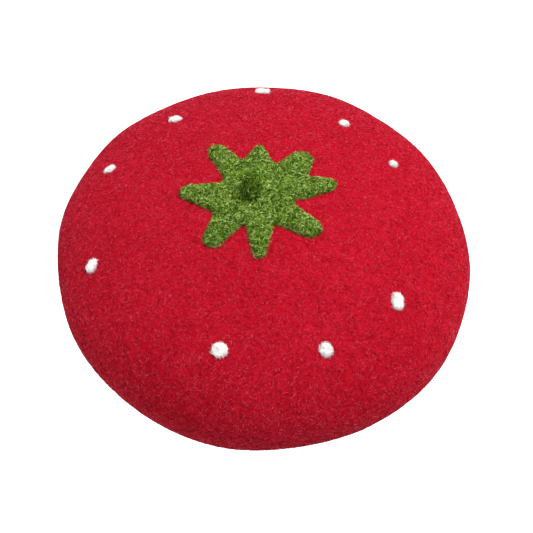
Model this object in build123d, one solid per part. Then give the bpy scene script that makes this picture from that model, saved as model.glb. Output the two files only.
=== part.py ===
from build123d import *

import os
from math import cos, hypot, pi, radians, sin

# A wool-felt beret made up as a strawberry: a seamless fulled crown with a green needle-felted calyx
# and stalk, nine white needle-felted seeds, and a ribbon sewn round the head opening.
# Millimetres, +Z up. The beret rests on its flat underside at z = 0, and the origin is below the
# crown's centre. The stalk stands left of centre, towards -X, and the widest seed lies at +Y.

# Crown: a superellipse dome above the widest level, and a quarter-ellipse roll below it.
CROWN_RADIUS = 140.0
EQUATOR_HEIGHT = 28.0
DOME_RISE = 48.5
DOME_POWER_OUT = 2.15
DOME_POWER_UP = 2.42
DOME_STEPS = 14
ROLL_INSET = 25.0
FELT_WALL = 2.5

# Head opening: the felt's cut edge is turned up inside as a low collar, and the ribbon is sewn to it.
BAND_INNER_RADIUS = 89.0
BAND_THICKNESS = 0.8
BAND_HEIGHT = 24.0
BAND_BOTTOM = 3.2
COLLAR_HEIGHT = 12.0
FOLD_RADIUS = 2.2

# Sewing: slanting whip stitches along the ribbon's lower edge.
THREAD_RADIUS = 0.25
THREAD_GAP = 0.03
STITCH_COUNT = 110
STITCH_LENGTH = 2.4
STITCH_RISE = 1.5
STITCH_LEAN = 55.0

# Needle-felted trim lies on the crown, with a hair's breadth between the two.
TRIM_GAP = 0.05
CALYX_THICKNESS = 2.5
SEED_THICKNESS = 2.0

# Calyx leaves: tip x, tip y, tip radius, root x, root y, root radius.
LEAVES = [
    (-30, 41, 6, -16, 20, 9),
    (-2, 43, 3, -4, 23, 12),
    (25, 33, 8, 15, 16, 12),
    (42, 12, 5, 26, 9, 9),
    (29, -24, 7, 10, -11, 10),
    (-2, -43, 3.5, -2, -16, 9.5),
    (-30, -32, 6, -18, -11, 11),
    (-47, 6, 6, -22, -1, 13),
]
CALYX_CENTRE = (-2, 6)
CALYX_DISC_RADIUS = 24

# Stalk: a tapered round stub on the calyx, left of centre and leaning back to the right.
STALK_FOOT = (-8.2, -0.8)
STALK_TURN_X = -10.0
STALK_TURN_Y = 9.0
STALK_BASE_RADIUS = 6.5
STALK_TOP_RADIUS = 5.2
STALK_LENGTH = 20.0

# Seeds: distance from the centre, bearing from +X, width across the bearing, length along it, and
# how far the two are turned together, outward from the width's end.
SEEDS = [
    (117.0, 90, 11, 9, -12),
    (93.8, 53, 8.5, 6.5, -8),
    (95.5, 24, 6.5, 6.5, 0),
    (104.5, -41, 8.5, 12, 47),
    (106.5, -70.5, 8.5, 8.5, 0),
    (103.8, -103.5, 10, 10, 0),
    (112.0, -159, 10.5, 7.5, 32),
    (109.5, 160, 9.5, 6, 42),
    (102.2, 127, 10, 7, 28),
]

CUT_HEIGHT = 200.0


def dome_rise(radius, growth):
    """Height above the widest level of the dome grown outward by growth, at a distance from the axis."""
    share = 1 - (radius / (CROWN_RADIUS + growth)) ** DOME_POWER_OUT
    return (DOME_RISE + growth) * share ** (1 / DOME_POWER_UP)


def dome_curve(growth):
    """The dome's section from its top to its widest level, as one smooth curve in the XZ plane."""
    points = []
    for step in range(DOME_STEPS + 1):
        angle = pi / 2 * step / DOME_STEPS
        out = (CROWN_RADIUS + growth) * sin(angle) ** (2 / DOME_POWER_OUT)
        up = (DOME_RISE + growth) * max(cos(angle), 0.0) ** (2 / DOME_POWER_UP)
        points.append((out, EQUATOR_HEIGHT + (up if step < DOME_STEPS else 0.0)))
    return Spline(*points, tangents=[(1, 0), (0, -1)])


def roll_curve(growth):
    """The rim's section below the widest level, a quarter ellipse that ends flat at the underside."""
    return EllipticalCenterArc(
        (CROWN_RADIUS - ROLL_INSET, EQUATOR_HEIGHT),
        ROLL_INSET + growth,
        EQUATOR_HEIGHT + growth,
        start_angle=270,
        arc_size=90,
    )


def dome_solid(growth):
    """Everything under the dome grown outward by growth, down to the widest level."""
    with BuildPart() as solid:
        with BuildSketch(Plane.XZ):
            with BuildLine():
                dome_curve(growth)
                Polyline(
                    (CROWN_RADIUS + growth, EQUATOR_HEIGHT),
                    (0, EQUATOR_HEIGHT),
                    (0, EQUATOR_HEIGHT + DOME_RISE + growth),
                )
            make_face()
        revolve(axis=Axis.Z)
    return solid.part


def make_crown():
    band_outer = BAND_INNER_RADIUS + BAND_THICKNESS
    collar_outer = band_outer + FELT_WALL
    rim_start = CROWN_RADIUS - ROLL_INSET
    with BuildPart() as crown:
        with BuildSketch(Plane.XZ):
            with BuildLine():
                dome_curve(0)
                roll_curve(0)
                Line((rim_start, 0), (band_outer + FOLD_RADIUS, 0))
                RadiusArc((band_outer + FOLD_RADIUS, 0), (band_outer, FOLD_RADIUS), FOLD_RADIUS)
                Polyline(
                    (band_outer, FOLD_RADIUS),
                    (band_outer, COLLAR_HEIGHT),
                    (collar_outer, COLLAR_HEIGHT),
                    (collar_outer, FELT_WALL),
                    (rim_start, FELT_WALL),
                )
                roll_curve(-FELT_WALL)
                dome_curve(-FELT_WALL)
                Line(
                    (0, EQUATOR_HEIGHT + DOME_RISE - FELT_WALL),
                    (0, EQUATOR_HEIGHT + DOME_RISE),
                )
            make_face()
        revolve(axis=Axis.Z)
    return crown.part


def leaf_outline(tip_x, tip_y, tip_radius, root_x, root_y, root_radius):
    """The outline of one leaf: a small tip circle and a wide root circle with straight sides between."""
    tip = CenterArc((tip_x, tip_y), tip_radius, 0, 360)
    root = CenterArc((root_x, root_y), root_radius, 0, 360)
    return make_hull([tip, root])


def make_calyx():
    """Eight leaves round a disc, as a layer of felt that follows the dome."""
    outline = Location((*CALYX_CENTRE, 0)) * Circle(CALYX_DISC_RADIUS)
    for leaf in LEAVES:
        outline += make_face(leaf_outline(*leaf))
    layer = dome_solid(TRIM_GAP + CALYX_THICKNESS) - dome_solid(TRIM_GAP)
    return layer & extrude(outline, CUT_HEIGHT)


def make_stalk():
    """A tapered stub with a round top, leaning, and cut off below where it meets the calyx."""
    shoulder = STALK_LENGTH - STALK_TOP_RADIUS
    with BuildPart() as stub:
        with BuildSketch(Plane.XZ):
            with BuildLine():
                Polyline(
                    (0, STALK_LENGTH),
                    (0, -STALK_LENGTH),
                    (STALK_BASE_RADIUS, -STALK_LENGTH),
                    (STALK_BASE_RADIUS, 0),
                    (STALK_TOP_RADIUS, shoulder),
                )
                RadiusArc((STALK_TOP_RADIUS, shoulder), (0, STALK_LENGTH), -STALK_TOP_RADIUS)
            make_face()
        revolve(axis=Axis.Z)
    seat = 2 * TRIM_GAP + CALYX_THICKNESS
    foot_height = EQUATOR_HEIGHT + dome_rise(hypot(*STALK_FOOT), seat)
    leaning = Location((*STALK_FOOT, foot_height)) * Rotation(STALK_TURN_X, STALK_TURN_Y, 0)
    return leaning * stub.part - dome_solid(seat)


def make_seed(distance, bearing, width, length, turn):
    """A flattened oval dot of felt, square to the dome where it lies."""
    across = radians(bearing)
    slope = (dome_rise(distance + 1, 0) - dome_rise(distance - 1, 0)) / 2
    place = Plane(
        origin=(
            distance * cos(across),
            distance * sin(across),
            EQUATOR_HEIGHT + dome_rise(distance, 0),
        ),
        x_dir=(-sin(across), cos(across), 0),
        z_dir=(-slope * cos(across), -slope * sin(across), 1),
    )
    dot = scale(Sphere(1), by=(width / 2, length / 2, SEED_THICKNESS))
    return place.location * Rotation(0, 0, -turn) * dot - dome_solid(TRIM_GAP)


def make_sweatband():
    """A ribbon sewn into a ring, standing inside the head opening."""
    outside = Cylinder(BAND_INNER_RADIUS + BAND_THICKNESS, BAND_HEIGHT)
    inside = Cylinder(BAND_INNER_RADIUS, BAND_HEIGHT)
    return Location((0, 0, BAND_BOTTOM + BAND_HEIGHT / 2)) * (outside - inside)


def make_stitching():
    """Slanting whip stitches on the collar's inner face, just below the ribbon's lower edge."""
    face_radius = BAND_INNER_RADIUS + BAND_THICKNESS - THREAD_RADIUS - THREAD_GAP
    level = BAND_BOTTOM - THREAD_RADIUS - STITCH_RISE / 2
    stitches = []
    for index in range(STITCH_COUNT):
        place = Rotation(0, 0, 360 * index / STITCH_COUNT) * Location((face_radius, 0, level))
        stitches.append(place * Rotation(STITCH_LEAN, 0, 0) * Cylinder(THREAD_RADIUS, STITCH_LENGTH))
    return Compound(children=stitches)


def main():
    nodes = {
        "crown": make_crown(),
        "calyx": make_calyx(),
        "stalk": make_stalk(),
        "sweatband": make_sweatband(),
        "sweatband_stitching": make_stitching(),
    }
    for number, seed in enumerate(SEEDS, start=1):
        nodes[f"seed_{number}"] = make_seed(*seed)
    os.makedirs("parts", exist_ok=True)
    for name, shape in nodes.items():
        export_step(shape, f"parts/{name}.step")


main()
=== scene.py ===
import math

import bpy
import numpy as np
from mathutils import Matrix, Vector
from mathutils.bvhtree import BVHTree


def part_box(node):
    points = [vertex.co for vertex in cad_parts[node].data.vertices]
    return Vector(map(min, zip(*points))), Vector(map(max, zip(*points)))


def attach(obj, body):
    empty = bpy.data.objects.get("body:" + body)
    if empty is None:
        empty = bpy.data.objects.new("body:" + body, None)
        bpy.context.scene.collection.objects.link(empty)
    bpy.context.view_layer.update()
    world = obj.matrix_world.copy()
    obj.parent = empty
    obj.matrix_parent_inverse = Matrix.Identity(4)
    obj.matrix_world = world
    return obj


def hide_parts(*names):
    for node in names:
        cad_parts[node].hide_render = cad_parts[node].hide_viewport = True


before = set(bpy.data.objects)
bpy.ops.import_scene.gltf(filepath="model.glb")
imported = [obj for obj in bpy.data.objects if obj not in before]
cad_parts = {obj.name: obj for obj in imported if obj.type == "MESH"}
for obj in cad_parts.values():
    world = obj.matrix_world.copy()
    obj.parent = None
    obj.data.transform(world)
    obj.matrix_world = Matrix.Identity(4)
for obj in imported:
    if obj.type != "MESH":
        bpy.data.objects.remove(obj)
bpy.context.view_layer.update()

# A strawberry beret in wool felt. Shapes are worked out in millimetres, in the CAD frame, and become
# metres when a mesh is made. Every random draw comes from a seeded generator.
MM = 0.001


def cad_box(node):
    """Lowest and highest corner of a CAD node, in millimetres."""
    low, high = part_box(node)
    return np.array(low) / MM, np.array(high) / MM


# ---------------------------------------------------------------- sizes from the frame
CROWN_RADIUS = cad_box("crown")[1][0]
CROWN_TOP = cad_box("crown")[1][2]
BAND_LOW, BAND_HIGH = cad_box("sweatband")
EQUATOR_HEIGHT = 28.0
DOME_RISE = CROWN_TOP - EQUATOR_HEIGHT
DOME_POWER_OUT = 2.15
DOME_POWER_UP = 2.42
ROLL_INSET = 25.0
FELT_WALL = 2.5
BAND_THICKNESS = 0.8
FOLD_RADIUS = 2.2
COLLAR_HEIGHT = 12.0

# The blocked felt isn't a perfect circle in plan: (order, cosine share, sine share) of the radius.
PLAN_WAVES = [(2, -0.021, -0.008), (3, -0.004, -0.002), (4, -0.001, -0.003)]

# Calyx leaves: tip x, tip y, tip radius, root x, root y, root radius, the same as in the CAD.
LEAVES = [
    (-30, 41, 6, -16, 20, 9),
    (-2, 43, 3, -4, 23, 12),
    (25, 33, 8, 15, 16, 12),
    (42, 12, 5, 26, 9, 9),
    (29, -24, 7, 10, -11, 10),
    (-2, -43, 3.5, -2, -16, 9.5),
    (-30, -32, 6, -18, -11, 11),
    (-47, 6, 6, -22, -1, 13),
]
CALYX_CENTRE = np.array([-2.0, 6.0])
CALYX_DISC_RADIUS = 24.0

# Calyx layer: its thickness, how far it stops short of that outline, since its loose wool fills the
# rest, and how wide its rounded edge is.
CALYX_THICKNESS = 1.7
CALYX_SHRINK = 1.35
CALYX_EDGE = 2.2

# Stalk: where its foot stands, how far its top leans from there, and its size.
STALK_FOOT = np.array([-8.2, -0.8])
STALK_LEAN = np.array([3.0, 3.4])
STALK_BASE_RADIUS = 5.6
STALK_TOP_RADIUS = 4.5
STALK_LENGTH = 19.0

# Seeds: width across the bearing, length along it, and turn in degrees, in the CAD nodes' order.
SEED_SIZES = [
    (8.4, 5.8, -12),
    (4.4, 3.5, -8),
    (2.6, 2.7, 0),
    (5.5, 9.2, 47),
    (5.4, 5.7, 0),
    (6.9, 6.7, 0),
    (7.2, 4.5, 32),
    (5.6, 2.7, 42),
    (6.8, 4.3, 28),
]
SEED_HEIGHT = 1.05

# Ribbon: how far its ends lap, where the lap lies, and its cross ribs.
BAND_LAP = 12.0
SEAM_ANGLE = math.pi / 2
RIB_PITCH = 1.1
RIB_HEIGHT = 0.09

# Stitches: how many hold the ribbon and how many close its lap, how far they stand off its edge, and
# the thread's radius, the relief of its plies as a share of that, and its twist along a stitch.
STITCH_COUNT = 110
LAP_STITCH_COUNT = 6
STITCH_SLACK = 0.35
THREAD_RADIUS = 0.23
PLY_RELIEF = 0.28
THREAD_TWIST = 9.0

# Height at which the crown's nap starts, and the height over which it grows to its full density.
NAP_START = 1.5
NAP_FADE = 6.0


# ---------------------------------------------------------------- camera, light and floor
def add_camera():
    """The camera stands in front of the beret and looks down at its widest level."""
    elevation = math.radians(53.3)
    distance = 0.511
    target = Vector((0, 0, EQUATOR_HEIGHT * MM))
    data = bpy.data.cameras.new("camera")
    data.sensor_width = 36.0
    data.lens = 50.9
    data.shift_x = 0.007
    data.shift_y = -0.042
    camera = bpy.data.objects.new("camera", data)
    bpy.context.collection.objects.link(camera)
    away = Vector((0, -math.cos(elevation), math.sin(elevation)))
    camera.location = target + distance * away
    camera.rotation_euler = (math.pi / 2 - elevation, 0, 0)
    bpy.context.scene.camera = camera


def add_area_light(name, place, size, power, colour):
    data = bpy.data.lights.new(name, "AREA")
    data.shape = "DISK"
    data.size = size
    data.energy = power
    data.color = colour
    lamp = bpy.data.objects.new(name, data)
    bpy.context.collection.objects.link(lamp)
    lamp.location = place
    lamp.rotation_euler = (-Vector(place)).to_track_quat("-Z", "Y").to_euler()


def add_lights():
    add_area_light("overhead_light", (0.40, 0.04, 0.92), 0.6, 13.1, (1.0, 0.99, 0.98))
    add_area_light("right_light", (0.75, 0.15, 0.62), 0.6, 3.5, (1.0, 0.99, 0.98))
    add_area_light("back_light", (-1.05, 1.28, 0.95), 1.14, 11.6, (1.0, 1.0, 1.0))
    add_area_light("left_light", (-0.87, 0.0, 0.5), 0.6, 4.0, (1.0, 1.0, 1.0))
    world = bpy.data.worlds.new("studio")
    bpy.context.scene.world = world
    world.use_nodes = True
    background = world.node_tree.nodes["Background"]
    background.inputs["Color"].default_value = (1.0, 1.0, 1.0, 1.0)
    background.inputs["Strength"].default_value = 0.22
    bpy.context.scene.view_settings.view_transform = "Standard"


def add_floor():
    """A white table lit from inside, which takes no shadow."""
    half = 6.0
    corners = [(-half, -half, 0), (half, -half, 0), (half, half, 0), (-half, half, 0)]
    mesh = bpy.data.meshes.new("floor")
    mesh.from_pydata(corners, [], [(0, 1, 2, 3)])
    floor = bpy.data.objects.new("floor", mesh)
    bpy.context.collection.objects.link(floor)
    material = bpy.data.materials.new("floor_light_table")
    material.use_nodes = True
    shader = material.node_tree.nodes["Principled BSDF"]
    shader.inputs["Base Color"].default_value = (0.12, 0.12, 0.12, 1)
    shader.inputs["Roughness"].default_value = 0.9
    shader.inputs["Emission Color"].default_value = (1.0, 1.0, 1.0, 1)
    shader.inputs["Emission Strength"].default_value = 1.65
    mesh.materials.append(material)


# ---------------------------------------------------------------- mesh helpers
def unit(vectors):
    """The same vectors, each of length one."""
    return vectors / np.maximum(np.linalg.norm(vectors, axis=-1, keepdims=True), 1e-12)


def triangulate(quads):
    return np.concatenate([quads[:, [0, 1, 2]], quads[:, [0, 2, 3]]])


def mesh_arrays(piece):
    """A piece's vertices in millimetres and its triangles, as arrays."""
    mesh = piece.data
    vertices = np.empty(len(mesh.vertices) * 3, dtype=np.float32)
    mesh.vertices.foreach_get("co", vertices)
    corners = np.empty(len(mesh.loops), dtype=np.int32)
    mesh.loops.foreach_get("vertex_index", corners)
    return vertices.reshape(-1, 3).astype(float) / MM, corners.reshape(-1, 3)


def new_object(name, points, faces, materials, face_slots=None):
    """A mesh object from points in millimetres and triangles, turned so that they face outward."""
    points = np.asarray(points, dtype=float)
    faces = np.asarray(faces, dtype=np.int32)
    a, b, c = points[faces[:, 0]], points[faces[:, 1]], points[faces[:, 2]]
    if (np.cross(a, b) * c).sum() < 0:
        faces = faces[:, ::-1]
    points = points.astype(np.float32) * np.float32(MM)
    faces = np.ascontiguousarray(faces)
    mesh = bpy.data.meshes.new(name)
    mesh.vertices.add(len(points))
    mesh.vertices.foreach_set("co", points.ravel())
    mesh.loops.add(faces.size)
    mesh.loops.foreach_set("vertex_index", faces.ravel())
    mesh.polygons.add(len(faces))
    mesh.polygons.foreach_set("loop_start", np.arange(0, faces.size, 3, dtype=np.int32))
    for material in materials:
        mesh.materials.append(material)
    if face_slots is not None:
        mesh.polygons.foreach_set("material_index", np.asarray(face_slots, dtype=np.int32))
    mesh.polygons.foreach_set("use_smooth", np.full(len(faces), True))
    mesh.update(calc_edges=True)
    mesh.validate()
    piece = bpy.data.objects.new(name, mesh)
    bpy.context.collection.objects.link(piece)
    return piece


def waves(seed, count, shortest, longest, height):
    """A smooth random field of 3D positions: a sum of plane waves with lengths in millimetres."""
    rng = np.random.default_rng(seed)
    directions = rng.normal(size=(count, 3))
    directions /= np.linalg.norm(directions, axis=1)[:, None]
    lengths = rng.uniform(shortest, longest, count)
    vectors = directions * (2 * math.pi / lengths)[:, None]
    phases = rng.uniform(0, 2 * math.pi, count)
    scale = height / math.sqrt(count / 2)

    def field(points):
        total = np.zeros(points.shape[:-1])
        for vector, phase in zip(vectors, phases, strict=True):
            total += np.cos(points @ vector + phase)
        return total * scale

    return field


def tube(rows, columns):
    """Triangles of an open tube of points in rows, whose last column joins the first."""
    row, column = np.meshgrid(np.arange(rows - 1), np.arange(columns), indexing="ij")
    after = (column + 1) % columns
    here, below = row * columns, (row + 1) * columns
    quads = np.stack([here + column, here + after, below + after, below + column], axis=-1)
    return triangulate(quads.reshape(-1, 4))


def fan(tip, first, second):
    """Triangles from one vertex to each pair of vertices."""
    return np.stack([np.full(len(first), tip), first, second], axis=1)


def capped_tube(rows, columns):
    """Triangles of such a tube, closed at each end by a fan round one point that follows the rows."""
    layer = rows * columns
    first, last = np.arange(columns), layer - columns + np.arange(columns)
    return np.concatenate(
        [
            tube(rows, columns),
            fan(layer, np.roll(first, -1), first),
            fan(layer + 1, last, np.roll(last, -1)),
        ]
    )


def ride_and_stand_for(piece, slot, *nodes):
    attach(piece, "root")
    if nodes:
        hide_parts(*nodes)
    return piece


# ---------------------------------------------------------------- materials
def felt_material(name, dark, middle, light, sheen_tint, sheen, grain, bump):
    """Fulled wool: clouds of shade, a fine fleck of fibre and a soft nap.

    grain is the width of the fleck in millimetres and bump the height of its relief in millimetres."""
    material = bpy.data.materials.new(name)
    material.use_nodes = True
    tree = material.node_tree
    nodes, links = tree.nodes, tree.links
    shader = nodes["Principled BSDF"]
    shader.inputs["Specular IOR Level"].default_value = 0.04
    shader.inputs["Sheen Weight"].default_value = sheen
    shader.inputs["Sheen Roughness"].default_value = 0.45
    shader.inputs["Sheen Tint"].default_value = sheen_tint
    place = nodes.new("ShaderNodeTexCoord")

    def noise(width, detail, distortion):
        texture = nodes.new("ShaderNodeTexNoise")
        texture.inputs["Scale"].default_value = 1 / (width * MM)
        texture.inputs["Detail"].default_value = detail
        texture.inputs["Distortion"].default_value = distortion
        links.new(place.outputs["Object"], texture.inputs["Vector"])
        return texture.outputs["Fac"]

    def mix(value, low, high):
        ramp = nodes.new("ShaderNodeMapRange")
        ramp.inputs["From Min"].default_value = 0.3
        ramp.inputs["From Max"].default_value = 0.7
        ramp.inputs["To Min"].default_value = low
        ramp.inputs["To Max"].default_value = high
        links.new(value, ramp.inputs["Value"])
        return ramp.outputs["Result"]

    def add(first, second):
        total = nodes.new("ShaderNodeMath")
        total.operation = "ADD"
        links.new(first, total.inputs[0])
        links.new(second, total.inputs[1])
        return total.outputs[0]

    fleck = noise(grain, 3.0, 1.5)
    patch = noise(grain * 6, 3.0, 0.8)
    cloud = noise(grain * 30, 2.0, 0.3)
    shade = add(add(mix(fleck, 0.0, 0.62), mix(patch, 0.0, 0.26)), mix(cloud, 0.0, 0.12))
    ramp = nodes.new("ShaderNodeValToRGB")
    ramp.color_ramp.elements[0].position = 0.15
    ramp.color_ramp.elements[0].color = (*dark, 1)
    ramp.color_ramp.elements[1].position = 0.85
    ramp.color_ramp.elements[1].color = (*light, 1)
    ramp.color_ramp.elements.new(0.5).color = (*middle, 1)
    links.new(shade, ramp.inputs["Fac"])
    links.new(ramp.outputs["Color"], shader.inputs["Base Color"])
    links.new(mix(fleck, 0.85, 1.0), shader.inputs["Roughness"])
    relief = nodes.new("ShaderNodeBump")
    relief.inputs["Strength"].default_value = 1.0
    relief.inputs["Distance"].default_value = bump * MM
    links.new(add(mix(fleck, 0.0, 1.0), mix(patch, 0.0, 1.0)), relief.inputs["Height"])
    links.new(relief.outputs["Normal"], shader.inputs["Normal"])
    return material


def fibre_materials(name, shades, sheen_tint, sheen):
    """One material for each dyed shade in the blend of wool: a fibre has one shade along it."""
    made = []
    for number, shade in enumerate(shades, start=1):
        material = bpy.data.materials.new(f"{name}_{number}")
        material.use_nodes = True
        shader = material.node_tree.nodes["Principled BSDF"]
        shader.inputs["Base Color"].default_value = (*shade, 1)
        shader.inputs["Roughness"].default_value = 0.8
        shader.inputs["Specular IOR Level"].default_value = 0.04
        shader.inputs["Sheen Weight"].default_value = sheen
        shader.inputs["Sheen Tint"].default_value = sheen_tint
        made.append(material)
    return made


RED_FELT = felt_material(
    "felt_red",
    dark=(0.30, 0.001, 0.007),
    middle=(0.36, 0.003, 0.013),
    light=(0.43, 0.009, 0.026),
    sheen_tint=(1.0, 0.15, 0.25, 1.0),
    sheen=0.06,
    grain=1.2,
    bump=0.3,
)
GREEN_FELT = felt_material(
    "felt_green",
    dark=(0.020, 0.052, 0.004),
    middle=(0.062, 0.125, 0.008),
    light=(0.14, 0.24, 0.02),
    sheen_tint=(0.8, 1.0, 0.3, 1.0),
    sheen=0.08,
    grain=1.1,
    bump=0.5,
)
WHITE_FELT = felt_material(
    "felt_white",
    dark=(0.80, 0.71, 0.71),
    middle=(0.90, 0.87, 0.86),
    light=(0.94, 0.93, 0.92),
    sheen_tint=(1.0, 1.0, 1.0, 1.0),
    sheen=0.2,
    grain=0.9,
    bump=0.35,
)
RED_FIBRES = fibre_materials(
    "wool_red",
    [
        (0.225, 0.0003, 0.006),
        (0.32, 0.002, 0.012),
        (0.40, 0.006, 0.022),
        (0.51, 0.024, 0.050),
        (0.66, 0.070, 0.115),
    ],
    sheen_tint=(1.0, 0.15, 0.25, 1.0),
    sheen=0.04,
)
GREEN_FIBRES = fibre_materials(
    "wool_green",
    [
        (0.012, 0.038, 0.002),
        (0.055, 0.125, 0.005),
        (0.125, 0.230, 0.013),
        (0.240, 0.380, 0.038),
        (0.470, 0.620, 0.185),
        (0.050, 0.165, 0.024),
    ],
    sheen_tint=(0.8, 1.0, 0.3, 1.0),
    sheen=0.05,
)
RIBBON = felt_material(
    "ribbon_red",
    dark=(0.20, 0.004, 0.010),
    middle=(0.27, 0.007, 0.016),
    light=(0.34, 0.012, 0.024),
    sheen_tint=(1.0, 0.6, 0.6, 1.0),
    sheen=0.1,
    grain=0.7,
    bump=0.05,
)
THREAD = felt_material(
    "thread_red",
    dark=(0.28, 0.008, 0.016),
    middle=(0.36, 0.012, 0.024),
    light=(0.44, 0.018, 0.034),
    sheen_tint=(1.0, 0.8, 0.8, 1.0),
    sheen=0.05,
    grain=0.4,
    bump=0.04,
)
WHITE_FIBRES = fibre_materials(
    "wool_white",
    [(0.93, 0.90, 0.89), (0.76, 0.66, 0.66), (0.97, 0.96, 0.95)],
    sheen_tint=(1.0, 1.0, 1.0, 1.0),
    sheen=0.1,
)


# ---------------------------------------------------------------- the felt crown
# Unevenness of the blocked felt: seed, number of waves, shortest and longest wave, and height.
BROAD_SWELL = (11, 16, 60.0, 150.0, 0.55)
SMALL_SWELL = (12, 40, 9.0, 24.0, 0.05)


def dome_section(growth, steps):
    """Points of the dome's section from its top to its widest level."""
    angle = np.linspace(0, math.pi / 2, steps)
    out = (CROWN_RADIUS + growth) * np.sin(angle) ** (2 / DOME_POWER_OUT)
    up = (DOME_RISE + growth) * np.clip(np.cos(angle), 0, None) ** (2 / DOME_POWER_UP)
    return np.stack([out, EQUATOR_HEIGHT + up], axis=1)


def roll_section(growth, steps):
    """Points of the rim's section from its widest level down to the flat underside."""
    angle = np.linspace(0, math.pi / 2, steps)
    out = CROWN_RADIUS - ROLL_INSET + (ROLL_INSET + growth) * np.cos(angle)
    up = EQUATOR_HEIGHT - (EQUATOR_HEIGHT + growth) * np.sin(angle)
    return np.stack([out, up], axis=1)


def still(points):
    """Section points that the felt's unevenness doesn't move."""
    points = np.array(points, dtype=float)
    return np.concatenate([points, np.zeros_like(points)], axis=1)


def uneven(section, growth, steps):
    """Section points, each with the direction out of the hollow in which unevenness moves it."""
    points = section(growth, steps)
    away = section(growth + 1, steps) - points
    away /= np.linalg.norm(away, axis=1)[:, None]
    return np.concatenate([points, away], axis=1)


def arc(centre, radius, start, stop, steps):
    """Points of an arc, with angles in degrees."""
    angle = np.radians(np.linspace(start, stop, steps))
    out, up = centre[0] + radius * np.cos(angle), centre[1] + radius * np.sin(angle)
    return np.stack([out, up], axis=1)


def crown_section():
    """The felt's section, from the outside of its top, round the opening's edge, to the inside."""
    inner = BAND_HIGH[0]
    outer = inner + FELT_WALL
    half = FELT_WALL / 2
    rim_start = CROWN_RADIUS - ROLL_INSET
    underside = [(radius, 0) for radius in np.linspace(rim_start, inner + FOLD_RADIUS, 14)[1:-1]]
    lining = [(radius, FELT_WALL) for radius in np.linspace(outer + 1, rim_start, 12)[:-1]]
    return np.concatenate(
        [
            uneven(dome_section, 0, 92),
            uneven(roll_section, 0, 34)[1:],
            still(underside),
            still(arc((inner + FOLD_RADIUS, FOLD_RADIUS), FOLD_RADIUS, 270, 180, 6)),
            still([(inner, 5), (inner, 8)]),
            still(arc((inner + half, COLLAR_HEIGHT - half), half, 180, 0, 9)),
            still([(outer, 8), (outer, 5), (outer, FELT_WALL + 1)]),
            still(lining),
            uneven(roll_section, -FELT_WALL, 24)[::-1],
            uneven(dome_section, -FELT_WALL, 50)[::-1][1:],
        ]
    )


def plan_stretch(bearing):
    """How much the blocked felt is wider or narrower than a circle in one direction."""
    total = np.zeros_like(bearing)
    for order, cosine, sine in PLAN_WAVES:
        total += cosine * np.cos(order * bearing) + sine * np.sin(order * bearing)
    return total


def make_crown():
    """One closed shell of felt, outside and inside, gently uneven like hand-blocked wool."""
    radius, height, away_out, away_up = crown_section().T[:, :, None]
    spokes = 360
    bearing = (np.arange(spokes) * 2 * math.pi / spokes)[None, :]
    opening = BAND_HIGH[0] + FELT_WALL
    below = np.clip((radius - opening) / (CROWN_RADIUS - opening), 0, 1)
    above_share = (radius / CROWN_RADIUS) ** 2
    share = np.where(height > EQUATOR_HEIGHT, above_share, below * below * (3 - 2 * below))
    plan = radius * (1 + plan_stretch(bearing) * share)
    level = height + 0 * bearing
    points = np.stack([plan * np.cos(bearing), plan * np.sin(bearing), level], axis=-1)
    # The felt that lies on the table stays flat, and its unevenness grows over the next 14 mm.
    free = np.clip((height - 3) / 14, 0, 1)
    swell = (waves(*BROAD_SWELL)(points) + waves(*SMALL_SWELL)(points)) * free
    points[..., 0] += away_out * swell * np.cos(bearing)
    points[..., 1] += away_out * swell * np.sin(bearing)
    points[..., 2] += away_up * swell
    rows = points[1:-1]
    poles = [points[0].mean(axis=0), points[-1].mean(axis=0)]
    vertices = np.concatenate([rows.reshape(-1, 3), poles])
    piece = new_object("felt_crown", vertices, capped_tube(len(rows), spokes), [RED_FELT])
    return ride_and_stand_for(piece, "felt_red", "crown")


def surface_finder(piece):
    """A function that drops points onto a piece from above and gives their places and normals."""
    vertices, triangles = mesh_arrays(piece)
    tree = BVHTree.FromPolygons(vertices.tolist(), triangles.tolist())
    above_everything = 200
    down = Vector((0, 0, -1))

    def find(flat_points):
        places, normals = [], []
        for x, y in flat_points:
            place, normal, _, _ = tree.ray_cast(Vector((x, y, above_everything)), down)
            places.append(place)
            normals.append(normal)
        return np.array(places), np.array(normals)

    return find


# ---------------------------------------------------------------- wool fibres
def strands(name, paths, lifts, widths, shades, materials):
    """Closed tapered hairs. A path has a sharp point at each end and three-sided rings between."""
    count, stations = paths.shape[:2]
    rings = stations - 2
    along = np.gradient(paths, axis=1)[:, 1:-1]
    side = unit(np.cross(along, lifts[:, None, :]))
    up = unit(np.cross(side, along))
    corners = []
    for angle in np.radians([90, 210, 330]):
        spread = math.cos(angle) * side + math.sin(angle) * up
        corners.append(paths[:, 1:-1] + spread * (widths / 2)[:, None, None])
    hoops = np.stack(corners, axis=2).reshape(count, rings * 3, 3)
    vertices = np.concatenate([paths[:, :1], hoops, paths[:, -1:]], axis=1)
    per_strand = vertices.shape[1]
    turn = [(0, 1), (1, 2), (2, 0)]
    pattern = [(0, 1 + b, 1 + a) for a, b in turn]
    for ring in range(rings - 1):
        near, far = 1 + 3 * ring, 4 + 3 * ring
        pattern += [(near + a, near + b, far + b) for a, b in turn]
        pattern += [(near + a, far + b, far + a) for a, b in turn]
    tail = 1 + 3 * (rings - 1)
    pattern += [(per_strand - 1, tail + a, tail + b) for a, b in turn]
    offsets = (np.arange(count) * per_strand)[:, None, None]
    triangles = (np.array(pattern)[None] + offsets).reshape(-1, 3)
    slots = np.repeat(shades, len(pattern))
    return new_object(name, vertices.reshape(-1, 3), triangles, materials, slots)


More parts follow.
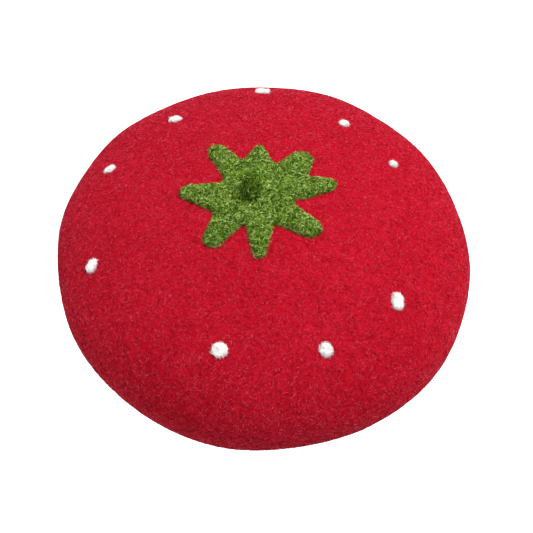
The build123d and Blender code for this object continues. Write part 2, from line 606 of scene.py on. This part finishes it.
def scatter(piece, count, rng, wanted):
    """Random points spread evenly over the wanted faces of a piece, with their normals."""
    vertices, triangles = mesh_arrays(piece)
    corners = vertices[triangles]
    centres = corners.mean(axis=1)
    cross = np.cross(corners[:, 1] - corners[:, 0], corners[:, 2] - corners[:, 0])
    size = np.linalg.norm(cross, axis=1)
    normals = cross / np.maximum(size, 1e-9)[:, None]
    weight = size * wanted(centres, normals)
    chosen = rng.choice(len(triangles), count, p=weight / weight.sum())
    first, second = rng.random((2, count, 1))
    flip = first + second > 1
    first, second = np.where(flip, 1 - first, first), np.where(flip, 1 - second, second)
    a, b, c = corners[chosen, 0], corners[chosen, 1], corners[chosen, 2]
    return a + first * (b - a) + second * (c - a), normals[chosen]


def lying_hairs(points, normals, rng, length, arch, curl, stray, stations=4):
    """Paths of short hairs that lie on a surface in every direction.

    length is the shortest and longest hair; arch how far its middle stands up; curl how far it bends
    sideways as a share of its length; stray how far a loose end lifts off."""
    count = len(points)
    heading = rng.normal(size=(count, 3))
    heading = unit(heading - (heading * normals).sum(axis=1)[:, None] * normals)
    side = np.cross(normals, heading)
    long = length[0] + (length[1] - length[0]) * rng.random((count, 1)) ** 2
    bend = rng.normal(size=(count, 1)) * curl * long
    rise = rng.uniform(0.25, 1.0, size=(count, 1)) * arch
    lift = rng.exponential(size=(count, 1)) * stray
    paths = []
    for share in np.linspace(-0.5, 0.5, stations):
        middle = 1 - 4 * share * share
        up = rise * middle + lift * (share + 0.5) ** 2
        paths.append(points + heading * long * share + side * bend * middle + normals * up)
    return np.stack(paths, axis=1)


def fur(name, piece, count, seed, wanted, slot, materials, mix, width, outward=(0, 0, 0), **shape):
    """Hairs over part of a piece; mix is each shade's share.

    outward is the direction out of what the piece lies on: hairs at the edge reach out over it."""
    rng = np.random.default_rng(seed)
    points, normals = scatter(piece, count, rng, wanted)
    normals = unit(normals + np.array(outward))
    paths = lying_hairs(points, normals, rng, **shape)
    widths = rng.uniform(*width, size=count)
    shades = rng.choice(len(materials), count, p=np.array(mix) / sum(mix))
    hairs = strands(name, paths, normals, widths, shades, materials)
    return ride_and_stand_for(hairs, slot)


# ---------------------------------------------------------------- calyx and stalk
def leaf_distance(flat_points, tip_x, tip_y, tip_radius, root_x, root_y, root_radius):
    """Signed distance to one leaf: a stretch from a wide root circle to a small tip circle."""
    root, tip = np.array([root_x, root_y]), np.array([tip_x, tip_y])
    line = tip - root
    length = np.linalg.norm(line)
    forward = line / length
    offset = flat_points - root
    ahead = offset @ forward
    beside = np.abs(offset[..., 0] * forward[1] - offset[..., 1] * forward[0])
    taper = (root_radius - tip_radius) / length
    foot = np.clip(ahead - beside * taper / math.sqrt(1 - taper * taper), 0, length)
    return np.hypot(ahead - foot, beside) - (root_radius - taper * foot)


def calyx_distance(flat_points):
    """Signed distance to the calyx's outline, its inner corners rounded as felting leaves them."""
    soft = 1.5
    disc = np.linalg.norm(flat_points - CALYX_CENTRE, axis=-1) - CALYX_DISC_RADIUS
    total = np.exp(-disc / soft)
    for leaf in LEAVES:
        total = total + np.exp(-leaf_distance(flat_points, *leaf) / soft)
    return -soft * np.log(total)


def calyx_reach(bearing):
    """How far the calyx reaches from its centre in each direction, found by stepping inward."""
    start, steps, close_enough, shortest_step = 70.0, 400, 0.01, 0.02
    reach = np.full_like(bearing, start)
    direction = np.stack([np.cos(bearing), np.sin(bearing)], axis=-1)
    for _ in range(steps):
        distance = calyx_distance(CALYX_CENTRE + direction * reach[:, None])
        step = np.maximum(distance * 0.4, shortest_step)
        reach = np.where(distance > close_enough, reach - step, reach)
    return reach


def make_calyx(on_crown):
    """A star of needle-felted wool: a lumpy layer with soft rounded edges that follows the crown."""
    spokes, rings = 540, 44
    bearing = np.arange(spokes) * 2 * math.pi / spokes
    reach = calyx_reach(bearing) - CALYX_SHRINK
    share = np.sin(np.linspace(0, math.pi / 2, rings + 1))[1:]
    direction = np.stack([np.cos(bearing), np.sin(bearing)], axis=-1)
    flat = CALYX_CENTRE + direction[None] * (reach[None, :] * share[:, None])[..., None]
    places, normals = on_crown(flat.reshape(-1, 2))
    inward = np.clip(-calyx_distance(flat).ravel() - CALYX_SHRINK, 0, None)
    edge = 1 - np.clip(inward / CALYX_EDGE, 0, 1)
    height = CALYX_THICKNESS * np.sqrt(1 - edge * edge)
    lumps = waves(21, 30, 4.0, 11.0, 0.22)(places) * (1 - edge)
    # The wool is heaped up round the stalk's foot.
    near = np.linalg.norm(places[:, :2] - STALK_FOOT, axis=1)
    mound = 2.4 * np.exp(-((near / 11.0) ** 2))
    gap, rim_height = 0.02, 0.05
    top = places + normals * (height + lumps + mound + rim_height)[:, None]
    under = places + normals * gap
    middle, middle_normal = on_crown([CALYX_CENTRE])
    peak = middle + middle_normal * (CALYX_THICKNESS + 1.0)
    base = middle + middle_normal * gap
    layer = rings * spokes
    sheet = tube(rings, spokes)
    first, rim = np.arange(spokes), layer - spokes + np.arange(spokes)
    after, rim_after = np.roll(first, -1), np.roll(rim, -1)
    wall = np.stack([rim, rim_after, rim_after + layer, rim + layer], axis=1)
    triangles = np.concatenate(
        [
            sheet[:, ::-1],
            sheet + layer,
            triangulate(wall)[:, ::-1],
            fan(2 * layer, first, after),
            fan(2 * layer + 1, after + layer, first + layer),
        ]
    )
    vertices = np.concatenate([top, under, peak, base])
    piece = new_object("felt_calyx", vertices, triangles, [GREEN_FELT])
    return ride_and_stand_for(piece, "felt_green", "calyx")


def make_stalk():
    """A stub of rolled wool, leaning and round-topped, that flares into the calyx at its foot."""
    spokes, rings = 64, 40
    bearing = np.arange(spokes) * 2 * math.pi / spokes
    share = np.linspace(0, 1, rings)
    shoulder = 1 - STALK_TOP_RADIUS / STALK_LENGTH
    radius = STALK_BASE_RADIUS + (STALK_TOP_RADIUS - STALK_BASE_RADIUS) * share
    cap = np.clip((share - shoulder) / (1 - shoulder), 0, 1)
    flare = 2.5 * np.exp(-share * 9)
    radius = radius * np.sqrt(np.clip(1 - cap * cap, 0, None)) + flare
    foot_height = CROWN_TOP + 0.5
    level = share * STALK_LENGTH
    centre_x = STALK_FOOT[0] + STALK_LEAN[0] * share
    centre_y = STALK_FOOT[1] + STALK_LEAN[1] * share
    points = np.stack(
        [
            centre_x[:, None] + radius[:, None] * np.cos(bearing),
            centre_y[:, None] + radius[:, None] * np.sin(bearing),
            np.repeat((foot_height + level)[:, None], spokes, axis=1),
        ],
        axis=-1,
    )
    push = waves(31, 30, 4.0, 12.0, 0.35)(points)
    points[..., 0] += push * np.cos(bearing)
    points[..., 1] += push * np.sin(bearing)
    rows = points[:-1]
    ends = [points[0].mean(axis=0), points[-1].mean(axis=0)]
    vertices = np.concatenate([rows.reshape(-1, 3), ends])
    piece = new_object("felt_stalk", vertices, capped_tube(len(rows), spokes), [GREEN_FELT])
    return ride_and_stand_for(piece, "felt_green", "stalk")


# ---------------------------------------------------------------- seeds
def make_seed(number, on_crown):
    """A dot of white wool needled into the crown: an uneven oval with a soft crowned top."""
    low, high = cad_box(f"seed_{number}")
    middle = (low + high) / 2
    place, normal = on_crown([middle[:2]])
    place, normal = place[0], normal[0]
    width, length, turn = SEED_SIZES[number - 1]
    outward = unit(np.array([place[0], place[1], 0.0]))
    across = unit(np.cross(normal, outward))
    down = np.cross(across, normal)
    spokes, rings = 48, 14
    rng = np.random.default_rng(40 + number)
    bearing = np.arange(spokes) * 2 * math.pi / spokes
    wobble = np.ones(spokes)
    for order in (2, 3, 4, 5, 7):
        wobble += rng.uniform(0.0, 0.05) * np.cos(order * bearing + rng.uniform(0, 2 * math.pi))
    sunk = -0.35
    latitude = np.linspace(sunk, math.pi / 2, rings)
    spread = np.cos(latitude)[:-1, None] * wobble[None, :]
    rise = np.sin(latitude)[:-1, None] * SEED_HEIGHT
    cosine, sine = math.cos(math.radians(turn)), math.sin(math.radians(turn))
    wide, long = width / 2 * np.cos(bearing), length / 2 * np.sin(bearing)
    u = spread * (wide * cosine - long * sine)
    v = spread * (wide * sine + long * cosine)
    points = place + u[..., None] * across + v[..., None] * down + rise[..., None] * normal
    bump = waves(50 + number, 24, 2.5, 6.0, 0.2)(points)
    points = points + bump[..., None] * normal
    under = place + math.sin(latitude[0]) * SEED_HEIGHT * normal
    peak = place + SEED_HEIGHT * normal
    vertices = np.concatenate([points.reshape(-1, 3), [under, peak]])
    triangles = capped_tube(rings - 1, spokes)
    piece = new_object(f"felt_seed_{number}", vertices, triangles, [WHITE_FELT])
    ride_and_stand_for(piece, "felt_white", f"seed_{number}")
    fur(
        f"seed_{number}_wool",
        piece,
        1100,
        400 + number,
        everywhere,
        "felt_white",
        WHITE_FIBRES,
        mix=(3, 2, 4),
        width=(0.12, 0.46),
        length=(1.8, 7.5),
        arch=0.7,
        curl=0.16,
        stray=0.35,
        outward=1.2 * normal,
    )


# ---------------------------------------------------------------- sweatband
def make_sweatband():
    """Grosgrain ribbon sewn into a ring: ribs across it, corded edges and lapped ends."""
    inner = BAND_HIGH[0] - BAND_THICKNESS
    middle = inner + BAND_THICKNESS / 2
    low, high = BAND_LOW[2], BAND_HIGH[2]
    turn = 2 * math.pi + BAND_LAP / middle
    stations = int(round(turn * middle / RIB_PITCH * 4))
    angle = np.linspace(0, turn, stations)
    along = angle * middle
    # Both ends lie at the back. The last stretch passes inside the first, and steps in over 6 mm.
    step = 6
    overlap = np.clip((along - 2 * math.pi * middle + step) / step, 0, 1)
    centre = middle - BAND_THICKNESS * 1.1 * overlap * overlap * (3 - 2 * overlap)
    ribs = RIB_HEIGHT * np.cos(along * 2 * math.pi / RIB_PITCH)
    # Up the ribbon's width: level, half thickness, and how strongly the ribs stand out.
    levels = np.array([0.0, 0.5, 1.1, 1.7, 4.0, 8.0, 12.0, 16.0, 20.0, 22.3, 22.9, 23.5, 24.0])
    cord = np.array([0.2, 0.42, 0.42, 0.26, 0.28, 0.28, 0.28, 0.28, 0.28, 0.26, 0.42, 0.42, 0.2])
    ribbed = np.array([0, 0, 0, 0.5, 1, 1, 1, 1, 1, 0.5, 0, 0, 0])
    levels = low + levels * (high - low) / levels[-1]
    wave = waves(61, 12, 40.0, 120.0, 0.15)
    bearing = angle + SEAM_ANGLE
    section = []
    for side in (-1, 1):
        order = range(len(levels)) if side < 0 else reversed(range(len(levels)))
        for index in order:
            out = centre + side * (cord[index] + ribbed[index] * ribs)
            level = np.full(stations, levels[index])
            section.append(np.stack([out * np.cos(bearing), out * np.sin(bearing), level], axis=1))
    points = np.stack(section, axis=1)
    points[..., 2] += wave(points)
    ring = points.shape[1]
    ends = []
    for start, flip in ((0, True), ((stations - 1) * ring, False)):
        for index in range(1, ring - 1):
            corner = [start, start + index, start + index + 1]
            ends.append(corner[::-1] if flip else corner)
    triangles = np.concatenate([tube(stations, ring), ends])
    piece = new_object("ribbon_sweatband", points.reshape(-1, 3), triangles, [RIBBON])
    return ride_and_stand_for(piece, "ribbon_red", "sweatband")


def make_stitching():
    """Whip stitches of two-ply thread over the ribbon's lower edge, and more that close the lap."""
    inner = BAND_HIGH[0] - BAND_THICKNESS
    low, high = BAND_LOW[2], BAND_HIGH[2]
    rng = np.random.default_rng(71)
    reach = np.linspace(0, 1, 10)
    hump = np.sin(reach * math.pi)
    ring = 6
    sides = np.arange(ring) * 2 * math.pi / ring
    twist = reach[:, None] * THREAD_TWIST
    thick = THREAD_RADIUS * (1 + PLY_RELIEF * np.cos(2 * (sides[None, :] - twist)))
    vertices, triangles = [], []

    def add_stitch(angle, path_out, path_round, path_up):
        """One stitch: a tube along a path given by distance inward, arc length and height."""
        bearing = angle + path_round / inner
        out = BAND_HIGH[0] - path_out
        path = np.stack([out * np.cos(bearing), out * np.sin(bearing), path_up], axis=1)
        along = unit(np.gradient(path, axis=0))
        inward = np.stack([-np.cos(bearing), -np.sin(bearing), np.zeros_like(bearing)], axis=1)
        side = unit(np.cross(along, inward))
        lift = np.cross(side, along)
        across = np.cos(sides)[None, :, None] * side[:, None]
        upward = np.sin(sides)[None, :, None] * lift[:, None]
        hoop = path[:, None] + thick[..., None] * (across + upward)
        base = sum(len(block) for block in vertices)
        vertices.append(hoop.reshape(-1, 3))
        vertices.append(path[[0, -1]])
        triangles.append(capped_tube(len(path), ring) + base)

    # Each stitch comes out of the felt below, turns over the ribbon's edge and goes in above it.
    climb = np.clip(reach * 2, 0, 1) ** 0.7
    settle = np.clip(reach * 2 - 1, 0, 1)
    over_edge = 0.05 + (BAND_THICKNESS + STITCH_SLACK) * climb - STITCH_SLACK * settle + 0.1 * hump
    for index in range(STITCH_COUNT):
        add_stitch(
            2 * math.pi * (index + rng.uniform(-0.15, 0.15)) / STITCH_COUNT,
            path_out=over_edge,
            path_round=2.2 * reach,
            path_up=low - 1.6 + 4.0 * reach + rng.uniform(-0.2, 0.2),
        )
    # The lap's stitches stand one above another, and lie on both layers of ribbon.
    margin = 3.0
    for index in range(LAP_STITCH_COUNT):
        level = low + margin + index * (high - low - 2 * margin) / (LAP_STITCH_COUNT - 1)
        add_stitch(
            SEAM_ANGLE + BAND_LAP / inner,
            path_out=BAND_THICKNESS * 2.1 + 0.3 * hump - 0.2,
            path_round=-1.6 + 2.4 * reach,
            path_up=level + 0.6 * reach,
        )
    vertices, triangles = np.concatenate(vertices), np.concatenate(triangles)
    piece = new_object("thread_stitching", vertices, triangles, [THREAD])
    return ride_and_stand_for(piece, "thread_red", "sweatband_stitching")


# ---------------------------------------------------------------- where the fibres grow
def everywhere(centres, normals):
    """Every face alike."""
    return np.ones(len(centres))


def outside_of_crown(centres, normals):
    """The felt's outer face: the dome and the rim, where the nap thins out towards the underside."""
    collar = BAND_HIGH[0] + 6
    hollow = np.linalg.norm(centres[:, :2], axis=1) < collar
    outward = (normals * (centres - [0, 0, EQUATOR_HEIGHT])).sum(axis=1) > 0
    fade = np.clip((centres[:, 2] - NAP_START) / NAP_FADE, 0, 1)
    return fade * (outward & ~(hollow & (centres[:, 2] < EQUATOR_HEIGHT)))


def top_of_layer(centres, normals):
    """Faces turned at most about 75 degrees from straight up."""
    steepest = 0.25
    return normals[:, 2] > steepest


def edge_of_layer(centres, normals):
    """Faces on the rounded edge, turned 45 to 90 degrees from straight up."""
    halfway = 0.35
    return abs(normals[:, 2] - halfway) < halfway


# ---------------------------------------------------------------- the scene
def main():
    add_camera()
    add_lights()
    add_floor()
    crown = make_crown()
    on_crown = surface_finder(crown)
    calyx = make_calyx(on_crown)
    stalk = make_stalk()
    for part in range(1, 7):
        fur(
            f"crown_nap_{part}",
            crown,
            16000,
            100 + part,
            outside_of_crown,
            "felt_red",
            RED_FIBRES,
            mix=(2.8, 2.8, 2, 3.2, 2.6),
            width=(0.12, 0.28),
            length=(1.2, 3.6),
            arch=0.2,
            curl=0.22,
            stray=0.08,
        )
    for part in range(1, 4):
        fur(
            f"calyx_wool_{part}",
            calyx,
            10500,
            200 + part,
            top_of_layer,
            "felt_green",
            GREEN_FIBRES,
            mix=(5, 3, 3, 3, 3, 1.5),
            width=(0.20, 0.48),
            length=(2.0, 5.5),
            arch=1.2,
            curl=0.18,
            stray=0.55,
            outward=(0, 0, 2.0),
            stations=5,
        )
    fur(
        "calyx_edge_wool",
        calyx,
        3200,
        204,
        edge_of_layer,
        "felt_green",
        GREEN_FIBRES,
        mix=(1, 2, 3, 3, 4, 1),
        width=(0.10, 0.22),
        length=(3.0, 8.5),
        arch=0.8,
        curl=0.16,
        stray=0.5,
        outward=(0, 0, 2.5),
    )
    # The stalk's wool takes a darker blend of the green shades than the calyx's wool: painted shade,
    # standing in for the shade on the stalk's side away from the light.
    fur(
        "stalk_wool",
        stalk,
        2600,
        300,
        everywhere,
        "felt_green",
        GREEN_FIBRES,
        mix=(5, 4, 3, 1.5, 0.6, 1.5),
        width=(0.26, 0.52),
        length=(2.5, 5.0),
        arch=1.0,
        curl=0.16,
        stray=0.4,
        stations=5,
    )
    for number in range(1, len(SEED_SIZES) + 1):
        make_seed(number, on_crown)
    make_sweatband()
    make_stitching()


main()
